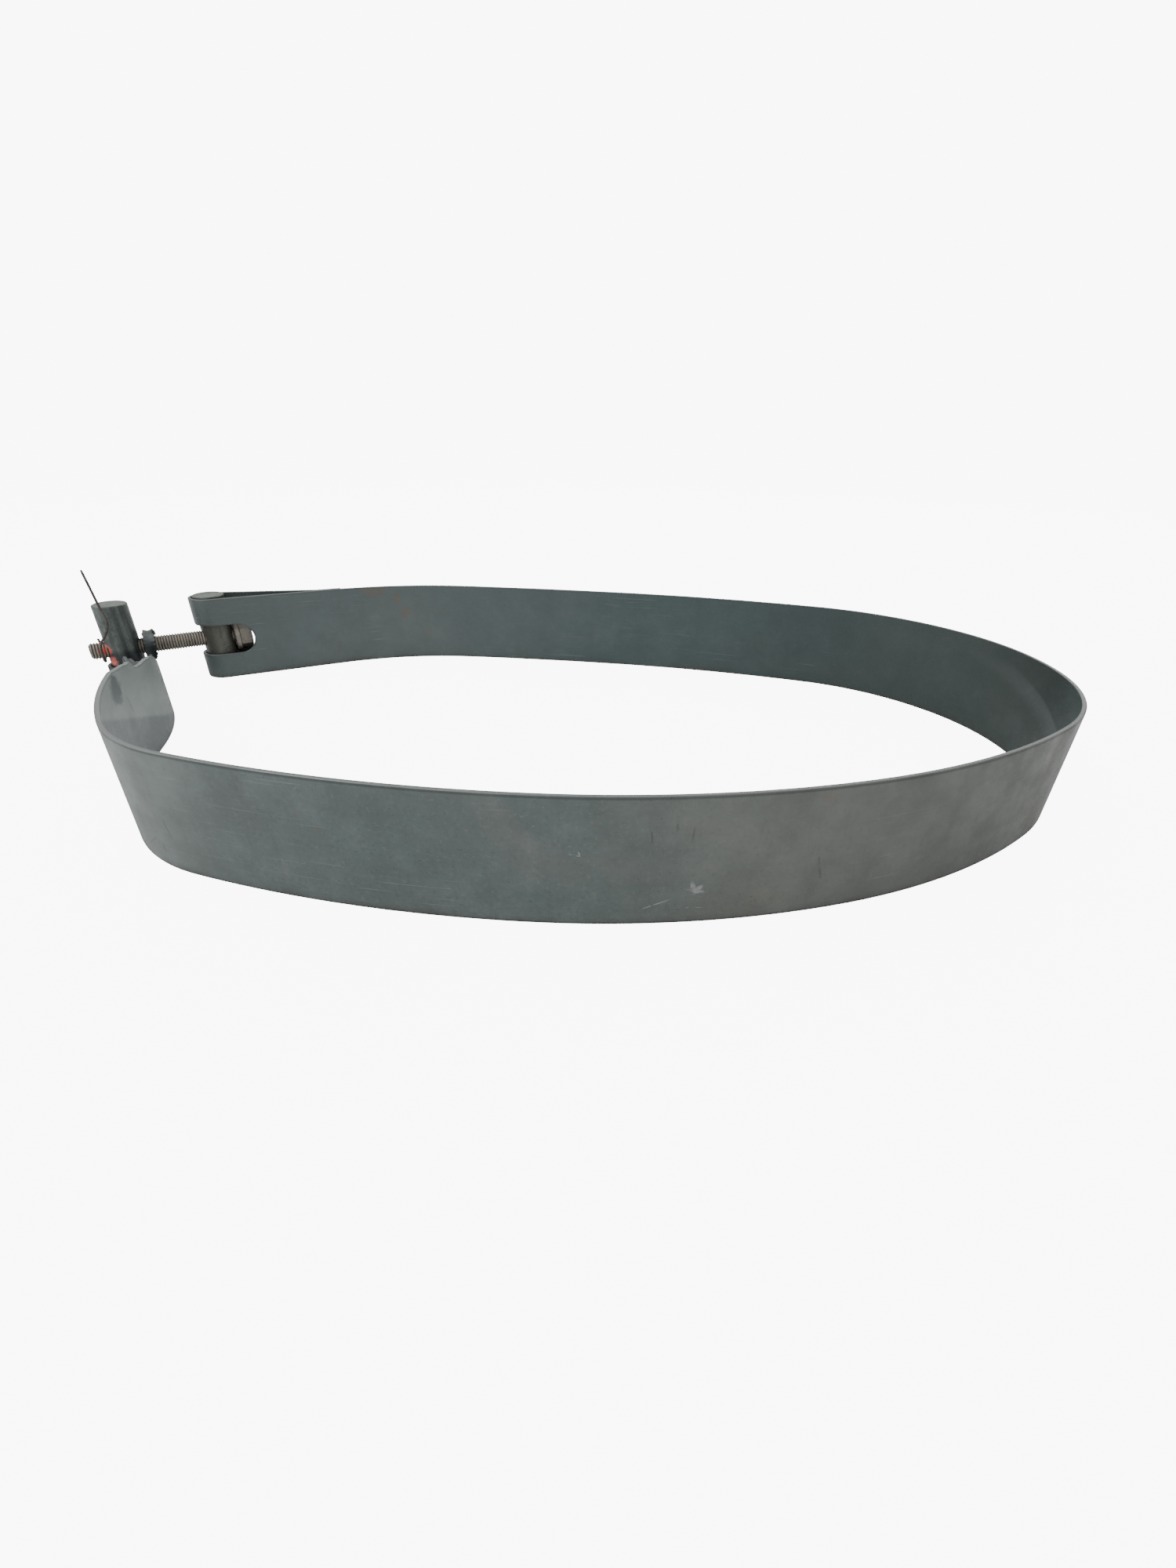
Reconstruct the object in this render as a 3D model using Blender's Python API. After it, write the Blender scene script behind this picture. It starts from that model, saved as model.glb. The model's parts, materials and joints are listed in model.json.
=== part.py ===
"""Band repair clamp for a large pipe, standing on its edge.

One flat steel strap is bent to a ring, sprung to an oval. Each end of the strap loops round an upright
barrel, comes back on the outside of the ring and is spot welded there. One bolt runs through both barrels
at mid height and draws them together. The upper ear of the left loop is torn away.

Metres, +Z up. The origin is under the middle of the whole clamp, on the surface that it stands on.
"""

import math

import bmesh
import bpy
from mathutils import Matrix, Vector

# ---------------------------------------------------------------- driving dimensions
STRAP_WIDTH = 0.050
STRAP_THICK = 0.002
GAP = 0.0003                      # clearance between neighbouring pieces

BARREL_RADIUS = 0.009
BARREL_LENGTH = 0.051
BOLT_HEIGHT = 0.0245              # the bolt's axis above the floor
BOLT_RADIUS = 0.005
HOLE_RADIUS = BOLT_RADIUS + GAP
BOLT_LENGTH = 0.080               # under the head
HEAD_FLATS = 0.016
HEAD_HEIGHT = 0.0070
WASHER_RADIUS = 0.010
WASHER_THICK = 0.0025
SPOT_FACE = 0.0088                # from the right barrel's axis to the flat under the washer

WRAP_RADIUS = BARREL_RADIUS + GAP + STRAP_THICK / 2   # centreline of the strap round a barrel
TAIL_LENGTH = 0.078               # from a barrel's axis to the tail's end
TAIL_PAD = 0.0095                 # the tail's end, which lies on the strap
TAIL_BEND = 0.030                 # radius of the bend where the tail lands on the strap
WELD_RADIUS = 0.003
WELD_HEIGHTS = (0.0095, 0.0245, 0.0395)   # the highest one is torn off at the left end

SLOT_HALF = 0.0092                # half the height of the slots that the bolt passes through
SLOT_END = 0.0205                 # from the right barrel's axis to the closed end of the strap's slot
TAIL_SLOT_END = 0.027             # the same in the tail, where the bolt's head passes through it
TAIL_SLOT_FROM = -0.004           # the longer slot is cut only this far across the barrel's axis

WIRE_RADIUS = 0.0006
WIRE_RING = 0.0065                # radius of the hook round the bolt
# The wire's free part, from the left barrel's axis: (along the bolt, across it to the front, height).
WIRE_ROUTE = [
    (-0.0100, 0.0095, 0.0300), (-0.0060, 0.0120, 0.0360), (-0.0032, 0.0120, 0.0425),
    (-0.0042, 0.0108, 0.0520), (-0.0066, 0.0084, 0.0720),
]

# The strap's centreline from the right barrel to the left one, clockwise seen from above:
# (radius, sweep in degrees, positive to the right), with a straight run as (None, length).
START_HEADING = math.radians(28.5)
STRAP_RUN = [
    (None, 0.072),                # straight from the right barrel, to the rear
    (0.163, 31.0),
    (1.280, 5.0),                 # nearly flat rear side
    (0.685, 10.4),
    (0.118, 39.9),
    (0.101, 84.2),                # round right end
    (0.272, 21.8),
    (0.350, 18.4),                # shallow front side
    (0.480, 15.2),
    (0.0725, 33.2),               # tight front left corner
    (0.207, 24.3),
    (-0.144, 24.15),              # the left end is bent back, outwards
    (None, 0.0486),               # straight to the left barrel
]
ARC_STEP = math.radians(4.0)      # longest arc in one flat facet
RUN_STEP = 0.014                  # longest facet

# Torn upper edge of the left end: (distance from the left barrel's axis, height).
TORN_EDGE = [
    (TAIL_SLOT_END, 0.0258), (0.041, 0.0266), (0.053, 0.0290), (0.067, 0.0330), (0.076, 0.0368),
    (0.083, 0.0400), (0.091, 0.0413), (0.103, 0.0425), (0.1085, 0.0430), (0.113, 0.0470), (0.126, 0.0485),
    (0.131, 0.0520), (0.132, 0.0600),
]


# ---------------------------------------------------------------- scene and materials
def clear_scene():
    for ob in list(bpy.data.objects):
        bpy.data.objects.remove(ob, do_unlink=True)


def make_material(name, colour, roughness, metallic):
    mat = bpy.data.materials.new(name)
    mat.use_nodes = True
    shader = mat.node_tree.nodes["Principled BSDF"]
    shader.inputs["Base Color"].default_value = (*colour, 1.0)
    shader.inputs["Roughness"].default_value = roughness
    shader.inputs["Metallic"].default_value = metallic
    mat.diffuse_color = (*colour, 1.0)
    return mat


def add_object(name, bm, mat=None):
    """Turns a bmesh, in world coordinates, into a named object."""
    bm.normal_update()
    bmesh.ops.recalc_face_normals(bm, faces=bm.faces)
    mesh = bpy.data.meshes.new(name)
    bm.to_mesh(mesh)
    bm.free()
    ob = bpy.data.objects.new(name, mesh)
    bpy.context.scene.collection.objects.link(ob)
    if mat:
        mesh.materials.append(mat)
    return ob


def smooth(ob, degrees=30):
    ob.data.shade_smooth()
    ob.data.set_sharp_from_angle(angle=math.radians(degrees))


def set_origin(ob, point):
    """Moves an object's origin to a point, with its mesh left where it is."""
    ob.data.transform(Matrix.Translation(-Vector(point)))
    ob.location = point


def cut(ob, cutter, operation="DIFFERENCE"):
    """Booleans a cutter with an object; the cutter stays in the file as a hidden guide."""
    mod = ob.modifiers.new(cutter.name, "BOOLEAN")
    mod.operation = operation
    mod.solver = "EXACT"
    mod.object = cutter
    cutter.hide_render = True
    cutter.display_type = "WIRE"


# ---------------------------------------------------------------- the strap's route
def run_points(run):
    """Points along a chain of tangent arcs and straight runs, and the index at which each of them starts."""
    x = y = heading = 0.0
    points = [(x, y, heading)]
    starts = []
    for radius, amount in run:
        starts.append(len(points) - 1)
        if radius is None:
            count = max(1, math.ceil(amount / RUN_STEP))
            for _ in range(count):
                x += amount / count * math.cos(heading)
                y += amount / count * math.sin(heading)
                points.append((x, y, heading))
            continue
        turn = -math.copysign(math.radians(amount), radius)
        length = abs(radius) * abs(turn)
        count = max(1, math.ceil(max(abs(turn) / ARC_STEP, length / RUN_STEP)))
        chord = 2 * abs(radius) * math.sin(abs(turn) / count / 2)
        for _ in range(count):
            x += chord * math.cos(heading + turn / count / 2)
            y += chord * math.sin(heading + turn / count / 2)
            heading += turn / count
            points.append((x, y, heading))
    return points, starts


def loop_run(strap_end):
    """The tail and the wrap round a barrel as a run, from the tail's end to the strap's end by the barrel.

    The strap's end is given as its straight length and the radius of the outward bend before it, or None.
    """
    straight, radius = strap_end
    lift = STRAP_THICK + GAP                         # from the strap's centreline to the tail's
    reach = TAIL_LENGTH - TAIL_PAD
    if radius is None:
        pad, swing = (None, TAIL_PAD), 0.0
        centre = (reach, lift - WRAP_RADIUS + TAIL_BEND)
    else:
        inner = radius - lift
        pad, swing = (inner, math.degrees(TAIL_PAD / inner)), (reach - straight) / radius
        centre = (straight + (inner - TAIL_BEND) * math.sin(swing),
                  radius - WRAP_RADIUS - (inner - TAIL_BEND) * math.cos(swing))
    distance = math.hypot(*centre)
    slope = math.asin((WRAP_RADIUS + TAIL_BEND) / distance) - math.atan2(centre[1], centre[0])
    free = math.sqrt(distance ** 2 - (WRAP_RADIUS + TAIL_BEND) ** 2)
    wrap = 180 + math.degrees(slope)
    return [pad, (TAIL_BEND, math.degrees(slope + swing)), (None, free), (-WRAP_RADIUS, wrap)]


def barrel_centre(point):
    """The axis of the barrel that the strap wraps where its main run starts or ends at this point."""
    x, y, heading = point
    return (x - WRAP_RADIUS * math.sin(heading), y + WRAP_RADIUS * math.cos(heading))


def placed(points, turn, shift):
    """Points turned about the origin and then shifted."""
    c, s = math.cos(turn), math.sin(turn)
    return [(c * x - s * y + shift[0], s * x + c * y + shift[1], heading + turn) for x, y, heading in points]


def strap_line(name, points, mat):
    """A strip of the strap's width and thickness along a centreline of (x, y, heading)."""
    bm = bmesh.new()
    half = STRAP_THICK / 2
    rings = []
    for x, y, heading in points:
        nx, ny = -math.sin(heading) * half, math.cos(heading) * half
        corners = [(x + nx, y + ny, 0), (x - nx, y - ny, 0)]
        corners += [(x - nx, y - ny, STRAP_WIDTH), (x + nx, y + ny, STRAP_WIDTH)]
        rings.append([bm.verts.new(c) for c in corners])
    for a, b in zip(rings, rings[1:]):
        for i in range(4):
            j = (i + 1) % 4
            bm.faces.new((a[i], a[j], b[j], b[i]))
    bm.faces.new(rings[0])
    bm.faces.new(reversed(rings[-1]))
    ob = add_object(name, bm, mat)
    smooth(ob)
    return ob


def prism(name, outline, centre, outward, depth, start=None):
    """A solid with an outline of (distance along outward, height), across from start, or -depth, to depth."""
    bm = bmesh.new()
    across = Vector((-math.sin(outward), math.cos(outward), 0))
    near, far = [], []
    for along, height in outline:
        x, y = centre[0] + along * math.cos(outward), centre[1] + along * math.sin(outward)
        middle = Vector((x, y, height))
        near.append(bm.verts.new(middle + across * (-depth if start is None else start)))
        far.append(bm.verts.new(middle + across * depth))
    bm.faces.new(near)
    bm.faces.new(reversed(far))
    for i in range(len(outline)):
        j = (i + 1) % len(outline)
        bm.faces.new((near[i], far[i], far[j], near[j]))
    return add_object(name, bm)


def slot_end_arc(end, lowest, highest, steps=8):
    """Points on a slot's round closed end, between two angles in degrees."""
    points = []
    for k in range(steps + 1):
        a = math.radians(lowest + (highest - lowest) * k / steps)
        points.append((end - SLOT_HALF + SLOT_HALF * math.cos(a), BOLT_HEIGHT + SLOT_HALF * math.sin(a)))
    return points


def round_bar(name, start, end, radius, sides, mat=None):
    """A plain round bar between two points."""
    start, end = Vector(start), Vector(end)
    bm = bmesh.new()
    bmesh.ops.create_cone(bm, cap_ends=True, segments=sides, radius1=radius, radius2=radius,
                          depth=(end - start).length)
    turn = (end - start).to_track_quat("Z", "Y").to_matrix().to_4x4()
    bm.transform(Matrix.Translation((start + end) / 2) @ turn)
    ob = add_object(name, bm, mat)
    smooth(ob)
    return ob


def add_welds(strap, name, tail_a, tail_b, heights):
    """Spot welds that join the tail's end, between two centreline points, to the strap on its left."""
    heading = math.atan2(tail_b[1] - tail_a[1], tail_b[0] - tail_a[0])
    x, y = (tail_a[0] + tail_b[0]) / 2, (tail_a[1] + tail_b[1]) / 2
    lift = STRAP_THICK + GAP
    for k, height in enumerate(heights):
        end = (x - lift * math.sin(heading), y + lift * math.cos(heading), height)
        weld = round_bar(f"{name}_{k + 1}", (x, y, height), end, WELD_RADIUS, 12)
        cut(strap, weld, "UNION")


# ---------------------------------------------------------------- pieces on the bolt's line
def bolt_direction(right_point, left_point):
    """The bolt's direction in plan, from the left barrel to the right one."""
    right, left = barrel_centre(right_point), barrel_centre(left_point)
    length = math.hypot(right[0] - left[0], right[1] - left[1])
    return ((right[0] - left[0]) / length, (right[1] - left[1]) / length)


def bolt_point(origin, direction, along):
    """A point on the bolt's axis, at a distance from a barrel's axis."""
    return Vector((origin[0] + direction[0] * along, origin[1] + direction[1] * along, BOLT_HEIGHT))


def make_barrel(name, centre, direction, mat, spot_face):
    bottom = (centre[0], centre[1], 0.0)
    top = (centre[0], centre[1], BARREL_LENGTH)
    barrel = round_bar(name, bottom, top, BARREL_RADIUS, 40, mat)
    reach = 2 * BARREL_RADIUS
    hole = round_bar(f"{name}_hole", bolt_point(centre, direction, -reach),
                     bolt_point(centre, direction, reach), HOLE_RADIUS, 24)
    cut(barrel, hole)
    if spot_face:
        milled = round_bar(f"{name}_spot_face", bolt_point(centre, direction, SPOT_FACE),
                           bolt_point(centre, direction, reach), WASHER_RADIUS + 3 * GAP, 24)
        cut(barrel, milled)
    set_origin(barrel, bottom)
    return barrel


def make_washer(name, centre, direction, mat):
    near = SPOT_FACE + GAP
    washer = round_bar(name, bolt_point(centre, direction, near),
                       bolt_point(centre, direction, near + WASHER_THICK), WASHER_RADIUS, 32, mat)
    bore = round_bar(f"{name}_bore", bolt_point(centre, direction, near - WASHER_THICK),
                     bolt_point(centre, direction, near + 2 * WASHER_THICK), HOLE_RADIUS, 24)
    cut(washer, bore)
    return washer


def make_bolt(name, centre, direction, mat):
    """Hex-head bolt; its head is to the right of the right barrel."""
    seat = SPOT_FACE + WASHER_THICK + 2 * GAP
    shank = round_bar(name, bolt_point(centre, direction, seat - BOLT_LENGTH),
                      bolt_point(centre, direction, seat + HEAD_HEIGHT / 2), BOLT_RADIUS, 24, mat)
    head = round_bar(f"{name}_head", bolt_point(centre, direction, seat),
                     bolt_point(centre, direction, seat + HEAD_HEIGHT), HEAD_FLATS / math.sqrt(3), 6)
    cut(shank, head, "UNION")
    set_origin(shank, bolt_point(centre, direction, 0))
    return shank


def smooth_route(route, steps=3):
    """Points on a smooth curve through the route's own points."""
    points = []
    for i in range(len(route) - 1):
        before = route[max(i - 1, 0)]
        a, b = route[i], route[i + 1]
        after = route[min(i + 2, len(route) - 1)]
        for k in range(steps):
            t = k / steps
            bend = (2 * before - 5 * a + 4 * b - after) * t * t + (3 * a - before - 3 * b + after) * t ** 3
            points.append((2 * a + (b - before) * t + bend) / 2)
    points.append(route[-1])
    return points


def make_wire(name, centre, direction, mat):
    """A thin tie wire: hooked round the bolt outside the left barrel, it stands up past the barrel's top."""
    along = Vector((direction[0], direction[1], 0))
    side = Vector((direction[1], -direction[0], 0))   # across the bolt, towards the front
    hook = bolt_point(centre, direction, -BARREL_RADIUS - 0.0022)
    route = []
    for k in range(13):                               # under the bolt, from its far side to its front
        a = math.radians(110 + 18 * k)
        route.append(hook + side * WIRE_RING * math.cos(a) + Vector((0, 0, WIRE_RING * math.sin(a))))
    for x, y, height in WIRE_ROUTE:
        route.append(Vector((centre[0], centre[1], height)) + along * x + side * y)
    points = smooth_route(route)
    curve = bpy.data.curves.new(name, "CURVE")
    curve.dimensions = "3D"
    curve.bevel_depth = WIRE_RADIUS
    curve.bevel_resolution = 2
    curve.use_fill_caps = True
    spline = curve.splines.new("POLY")
    spline.points.add(len(points) - 1)
    for target, point in zip(spline.points, points):
        target.co = (*point, 1.0)
    curve.materials.append(mat)
    ob = bpy.data.objects.new(name, curve)
    bpy.context.scene.collection.objects.link(ob)
    return ob


# ---------------------------------------------------------------- assembly
def hinge_index(points, left, right):
    """The first centreline point past the line that halves the two barrels' gap at a right angle."""
    middle = ((left[0] + right[0]) / 2, (left[1] + right[1]) / 2)
    along = (right[0] - left[0], right[1] - left[1])
    sides = [(x - middle[0]) * along[0] + (y - middle[1]) * along[1] for x, y, _ in points]
    crossings = [i for i in range(1, len(points)) if sides[i - 1] > 0 >= sides[i]]
    i = crossings[-1]
    share = sides[i - 1] / (sides[i - 1] - sides[i])
    a, b = points[i - 1], points[i]
    point = tuple(a[k] + (b[k] - a[k]) * share for k in range(3))
    return i, point


def step_along(point, distance):
    x, y, heading = point
    return (x + distance * math.cos(heading), y + distance * math.sin(heading), heading)


def build():
    clear_scene()
    steel = make_material("strap_steel", (0.115, 0.14, 0.14), 0.5, 0.7)
    bar_steel = make_material("barrel_steel", (0.09, 0.10, 0.10), 0.5, 0.7)
    bolt_steel = make_material("bolt_steel", (0.20, 0.16, 0.12), 0.6, 0.6)
    wire_steel = make_material("wire_steel", (0.12, 0.11, 0.10), 0.5, 0.6)

    # The whole strap is one run from tail to tail, turned to its heading and centred over the origin.
    right_tail = loop_run((STRAP_RUN[0][1], None))
    left_tail = loop_run((STRAP_RUN[-1][1], -STRAP_RUN[-2][0]))
    flat, starts = run_points(right_tail + STRAP_RUN + left_tail[::-1])
    first, last = starts[len(right_tail)], starts[len(right_tail) + len(STRAP_RUN)]
    line = placed(flat, START_HEADING - flat[first][2], (0.0, 0.0))
    half = STRAP_THICK / 2
    xs = [x - s * half * math.sin(h) for x, y, h in line for s in (1, -1)]
    ys = [y + s * half * math.cos(h) for x, y, h in line for s in (1, -1)]
    right, direction = barrel_centre(line[first]), bolt_direction(line[first], line[last])
    bolt_end = SPOT_FACE + WASHER_THICK + 2 * GAP - BOLT_LENGTH
    xs.append(right[0] + direction[0] * bolt_end - direction[1] * BOLT_RADIUS)
    line = placed(line, 0.0, (-(min(xs) + max(xs)) / 2, -(min(ys) + max(ys)) / 2))
    right, left = barrel_centre(line[first]), barrel_centre(line[last])
    right_out, left_out = line[first][2], line[last][2] + math.pi

    # The strap is one piece of steel; here it is parted where it flexes.
    i, hinge = hinge_index(line, left, right)
    rear = line[:i] + [step_along(hinge, -GAP / 2)]
    front = [step_along(hinge, GAP / 2)] + line[i:]
    strap_rear = strap_line("strap_rear_run", rear, steel)
    strap_front = strap_line("strap_left_run", front, steel)
    add_welds(strap_rear, "right_weld", line[0], line[1], WELD_HEIGHTS)
    add_welds(strap_front, "left_weld", line[-2], line[-1], WELD_HEIGHTS[:2])

    tip = -2 * WRAP_RADIUS
    low, high = BOLT_HEIGHT - SLOT_HALF, BOLT_HEIGHT + SLOT_HALF
    slot = [(tip, high), (tip, low)] + slot_end_arc(SLOT_END, -90, 90)
    cut(strap_rear, prism("right_slot", slot, right, right_out, 3 * BARREL_RADIUS))
    tail_slot = [(0.0, high), (0.0, low)] + slot_end_arc(TAIL_SLOT_END, -90, 90)
    cut(strap_rear, prism("right_tail_slot", tail_slot, right, right_out, 3 * BARREL_RADIUS, TAIL_SLOT_FROM))
    torn = [(tip, TORN_EDGE[-1][1]), (tip, low)] + slot_end_arc(TAIL_SLOT_END, -90, 0) + TORN_EDGE
    cut(strap_front, prism("torn_left_end", torn, left, left_out, 6 * BARREL_RADIUS))
    set_origin(strap_front, (hinge[0], hinge[1], 0.0))

    make_barrel("clearance_barrel", right, direction, bar_steel, True)
    make_barrel("tapped_barrel", left, direction, bar_steel, False)
    make_washer("head_washer", right, direction, bolt_steel)
    make_bolt("closing_bolt", right, direction, bolt_steel)
    make_wire("tie_wire", left, direction, wire_steel)


build()
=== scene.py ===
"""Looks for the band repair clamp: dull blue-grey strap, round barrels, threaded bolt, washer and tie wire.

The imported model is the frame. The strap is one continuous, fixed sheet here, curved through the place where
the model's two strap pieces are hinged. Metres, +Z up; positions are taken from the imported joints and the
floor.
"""

import json
import math

import bmesh
import bpy
import numpy as np
from mathutils import Matrix, Vector


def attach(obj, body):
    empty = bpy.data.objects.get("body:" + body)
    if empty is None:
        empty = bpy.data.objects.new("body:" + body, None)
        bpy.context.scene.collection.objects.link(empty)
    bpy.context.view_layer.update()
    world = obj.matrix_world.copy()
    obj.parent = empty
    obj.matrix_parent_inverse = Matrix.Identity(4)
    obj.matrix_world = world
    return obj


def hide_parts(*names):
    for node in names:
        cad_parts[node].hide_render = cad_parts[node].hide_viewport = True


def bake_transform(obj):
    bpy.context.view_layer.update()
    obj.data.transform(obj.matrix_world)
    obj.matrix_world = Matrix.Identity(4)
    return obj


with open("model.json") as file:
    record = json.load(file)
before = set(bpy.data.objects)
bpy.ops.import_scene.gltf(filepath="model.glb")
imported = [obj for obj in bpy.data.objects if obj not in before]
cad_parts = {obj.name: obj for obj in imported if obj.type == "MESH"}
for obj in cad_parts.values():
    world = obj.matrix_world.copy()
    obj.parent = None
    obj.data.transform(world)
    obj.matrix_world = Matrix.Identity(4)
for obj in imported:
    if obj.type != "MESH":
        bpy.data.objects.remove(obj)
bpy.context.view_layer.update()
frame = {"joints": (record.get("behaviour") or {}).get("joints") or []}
joint_at = {j["name"]: np.array(j["pos_m"]) for j in frame["joints"]}
RIGHT = joint_at["right_barrel_pivot"]  # on the bolt's axis, in the right barrel
LEFT = joint_at["left_barrel_pivot"]
BOLT_Z = float(RIGHT[2])
U = (RIGHT - LEFT) / np.linalg.norm(RIGHT - LEFT)  # along the bolt, to the right
SIDE = np.array([U[1], -U[0], 0.0])  # across the bolt, to the front
UP = np.array([0.0, 0.0, 1.0])

# ---------------- dimensions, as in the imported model
WIDTH = 0.05
HALF_THICK = 0.00094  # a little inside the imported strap's 1 mm
BARREL_R = 0.009
BARREL_L = 0.051
WRAP_R = 0.0103  # a barrel's axis to the strap's middle
GAP = 0.0003
LIFT = 0.002 + GAP  # the strap's middle to a tail's middle
BOLT_R = 0.005
BOLT_LENGTH = 0.08
HEAD_FLATS = 0.016
HEAD_HEIGHT = 0.007
WASHER_R = 0.01
WASHER_THICK = 0.0025
SPOT_FACE = 0.0088
PITCH = 0.0015
WIRE_R = 0.00066
WIRE_TIP_R = 0.00046
HOOK_R = 0.0065
SLOT_HALF = 0.0092
SLOT_END = 0.0205  # from the right barrel's axis
TAIL_SLOT_END = 0.027
TAIL_LENGTH = 0.078
TAIL_PAD = 0.0095  # a tail's welded end, flat on the strap
TAIL_BEND = 0.03
START_HEADING = math.radians(28.5)
# The strap between the barrels: (radius, degrees), or (None, length) where it is straight.
STRAP_RUN = [
    (None, 0.072), (0.163, 31.0), (1.28, 5.0), (0.685, 10.4), (0.118, 39.9), (0.101, 84.2), (0.272, 21.8),
    (0.35, 18.4), (0.48, 15.2), (0.0725, 33.2), (0.207, 24.3), (-0.144, 24.15), (None, 0.0486),
]
# Torn upper edge of the left end, in mm: (distance along the strap from the left barrel's axis, height).
TORN_MAIN = [(d / 1000, z / 1000) for d, z in (
    (0, 15.3), (17.8, 15.3), (22, 17), (24.5, 20), (26.5, 23.8), (28, 26.2), (31, 25.5), (34.5, 26.4),
    (40, 26.2), (44, 27.6), (49, 27.9), (55, 29.6), (60, 30.2), (66, 33), (72, 34.9), (78, 38), (84, 40.2),
    (91, 41.3), (96, 42), (103, 42.4), (107.5, 42.8), (109.4, 42.9), (110.3, 44.3), (111.5, 45.5),
    (113, 47), (115, 47.3), (117, 46.8), (119, 47.4), (126, 48.4), (132, 49.2), (138, 50), (9000, 50),
)]
TORN_TAIL = [(d / 1000, z / 1000) for d, z in (
    (0, 15.3), (17.8, 15.3), (22.5, 17.2), (25, 20.5), (26.2, 24), (27.5, 26.8), (31, 25.2), (35, 27.2),
    (40, 26), (45, 27.5), (49, 28.4), (55, 28.8), (62, 31.2), (68, 33), (74, 35.2), (9000, 37.2),
)]
TORN_REACH = 0.14  # from the left barrel, past the tear's far end
TORN_STEP = 0.0009
CURL_DEPTH = 0.006  # how far down the torn edge is bent
CURL = 0.00022
WELD_HEIGHTS = (0.0095, 0.0245, 0.0395)  # the left tail has only the lower two
WELD_R = 0.0032
WELD_DENT = 0.00035
# How thick the sheet is near a free edge: (distance from the edge, part of its thickness).
EDGE_SHAPE = ((0.0, 0.6), (0.00012, 0.84), (0.0003, 0.96), (0.0006, 1.0), (1.0, 1.0))
EDGE_STEPS = (0.0, 0.00012, 0.0003, 0.0006, 0.0012)
OPEN = 1e-7  # a slot lower than this is closed

# ---------------- marks and colours
# Marks on the sheet: (distance back from the left barrel, height, then angle, length and width of a stroke).
RUST_SPOTS = [(1.1101, 0.048, (0.01, 0.006)), (1.0911, 0.032, (0.004, 0.005)),
              (1.096, 0.042, (0.003, 0.006))]
DARK_MARKS = [
    (0.216, 0.019, 1.85, 0.015, 0.0009), (0.2205, 0.0095, 2.55, 0.011, 0.0009),
    (0.227, 0.0085, 1.5, 0.006, 0.0007), (0.233, 0.019, 1.4, 0.012, 0.0006),
]
FAINT_MARKS = [
    (0.4125, 0.041, 1.5, 0.01, 0.0012), (0.418, 0.037, 1.62, 0.011, 0.001),
    (0.405, 0.035, 1.45, 0.016, 0.0009), (0.464, 0.018, 1.3, 0.016, 0.0016),
]
LIGHT_MARKS = [
    (0.4208, 0.0134, 0.15, 0.008, 0.0022), (0.4201, 0.0148, 1.3, 0.007, 0.0022),
    (0.4214, 0.014, 2.35, 0.006, 0.0024),
    (0.408, 0.0085, -0.38, 0.013, 0.0006), (0.381, 0.0285, 0.2, 0.005, 0.0006),
    (0.3824, 0.0291, 1.2, 0.0022, 0.0007), (0.4195, 0.0065, 0.06, 0.012, 0.0004),
]
BROWN_MARKS = [(0.438, 0.005, -0.25, 0.013, 0.0012), (0.43, 0.0035, -0.2, 0.008, 0.0012)]
CRACK = (0.129, 0.031, -1.326, 0.0125, 0.0008)
BLOT = (0.141, 0.0425, (0.01, 0.0078))
# Red paint round the thread's end: ((along the bolt, to the front, up) from PAINT_AT, size).
PAINT_AT = LEFT - U * 0.0092
PAINT_SIZE = 0.0042
BAR_PAINT = [((0.002, 0.0, 0.0072), 0.85), ((0.0, 0.0052, 0.0015), 1.0), ((0.001, 0.0066, -0.006), 0.95)]
BOLT_PAINT = [((-0.0012, 0.0, 0.0052), 0.62), ((-0.001, 0.005, 0.001), 0.62)]
RIGHT_TONES = ((0.075, 0.077, 0.067), (0.12, 0.12, 0.104))
LEFT_TONES = ((0.05, 0.062, 0.06), (0.12, 0.142, 0.132))
LEFT_DARK_BELOW = 0.0265  # the left barrel is darker below this height
NO_DARK_BELOW = -1.0

# ---------------- camera and light
CAMERA_AT = Vector((RIGHT[0] + 0.241347, RIGHT[1] - 0.396604, 0.14494))
CAMERA_DOWN = 29.493  # degrees below level
CAMERA_ROLL = 1.312  # degrees
LENS = 14.335  # millimetres, for a 36 mm sensor
WHITE = 9.0  # how bright the background is to the camera
AMBIENT = 0.85  # how bright the world is to the object
FLOOR_LIT = 0.72  # what the lights give the floor by themselves


def add_object(name, data):
    ob = bpy.data.objects.new(name, data)
    bpy.context.scene.collection.objects.link(ob)
    return ob


def place_camera():
    """The eye-level three-quarter view: close, wide, and looking down on the ring by about 29 degrees."""
    cam_data = bpy.data.cameras.new("view")
    cam_data.lens = LENS
    cam_data.sensor_width = 36.0
    cam_data.clip_start = 0.01
    cam = add_object("view", cam_data)
    tilt = Matrix.Rotation(math.radians(90.0 - CAMERA_DOWN), 4, "X")
    roll = Matrix.Rotation(math.radians(CAMERA_ROLL), 4, "Z")
    cam.matrix_world = Matrix.Translation(CAMERA_AT) @ tilt @ roll
    bpy.context.scene.camera = cam


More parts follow.
